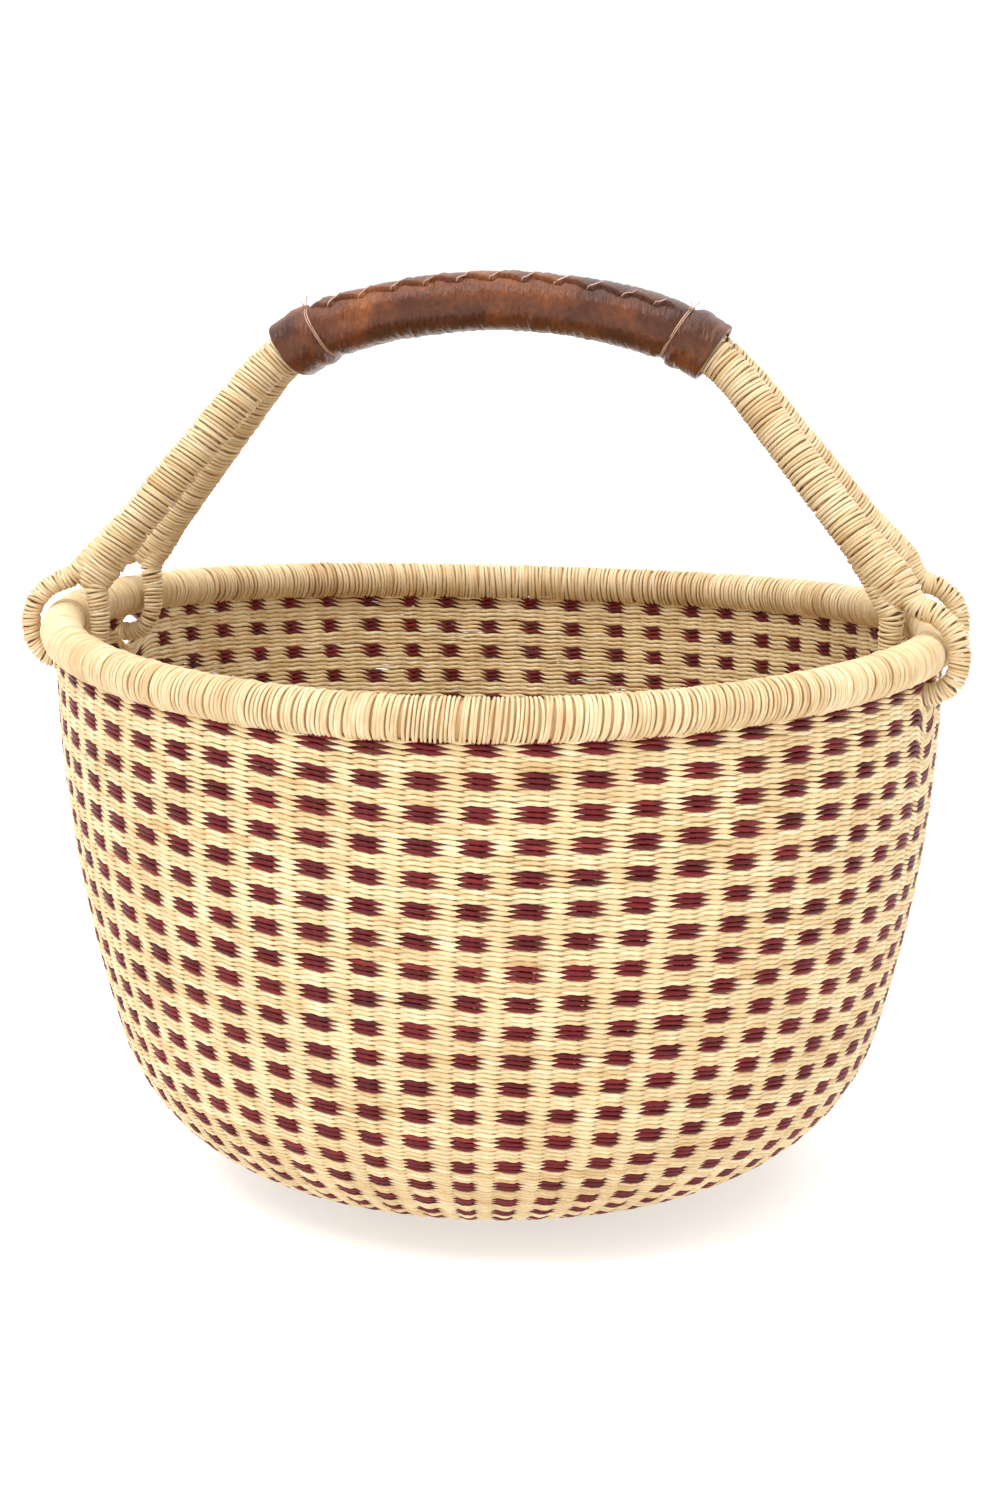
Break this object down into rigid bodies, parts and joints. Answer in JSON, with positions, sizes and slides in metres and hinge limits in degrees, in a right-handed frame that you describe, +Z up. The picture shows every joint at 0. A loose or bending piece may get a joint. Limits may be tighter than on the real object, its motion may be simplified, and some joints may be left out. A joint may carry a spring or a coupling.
{
  "type": "woven market basket",
  "caption": "Round-bottomed woven straw basket with a wrapped rim roll and a leather-gripped bail handle that rocks on loops round the rim.",
  "frame": {"origin": "centre of the flat patch that the basket stands on", "axes": "+Z up, the handle spans the mouth along X, front is -Y"},
  "size_m": [0.417, 0.4076, 0.4066],
  "materials": {
    "natural_weft": "undyed twisted grass straw, slightly glossy",
    "dyed_weft": "grass straw dyed dark maroon, glossy",
    "stakes": "bundled grass straw",
    "straw_core": "bundled grass straw",
    "rim_wrap": "tightly wound grass straw in slightly different shades",
    "handle_wrap": "tightly wound grass straw in slightly different shades",
    "leather": "brown goatskin, polished, finely wrinkled",
    "thread": "waxed thread"
  },
  "bodies": {
    "basket": {"floor_weft": "natural_weft", "lower_corner_weft": "natural_weft", "upper_corner_weft": "natural_weft", "lower_wall_weft": "natural_weft", "upper_wall_weft": "natural_weft", "inner_weft": "natural_weft", "dyed_weft": "dyed_weft", "stake_hub": "stakes", "long_stakes": "stakes", "added_stakes": "stakes", "loop_stakes": "stakes", "rim_core": "straw_core", "rim_wrap": "rim_wrap"},
    "handle": {"front_left_loop_core": "straw_core", "front_left_loop_wrap": "handle_wrap", "back_left_loop_core": "straw_core", "back_left_loop_wrap": "handle_wrap", "front_right_loop_core": "straw_core", "front_right_loop_wrap": "handle_wrap", "back_right_loop_core": "straw_core", "back_right_loop_wrap": "handle_wrap", "front_bundle_core": "straw_core", "front_bundle_wrap": "handle_wrap", "back_bundle_core": "straw_core", "back_bundle_wrap": "handle_wrap", "leather_grip": "leather", "grip_lacing": "thread", "left_grip_tie": "thread", "right_grip_tie": "thread"}
  },
  "joints": [
    {"name": "handle_rock", "type": "hinge", "parent": "basket", "child": "handle", "pos_m": [0, 0, 0.2497], "axis": [1, 0, 0], "range_deg": [-3, 3]}
  ]
}
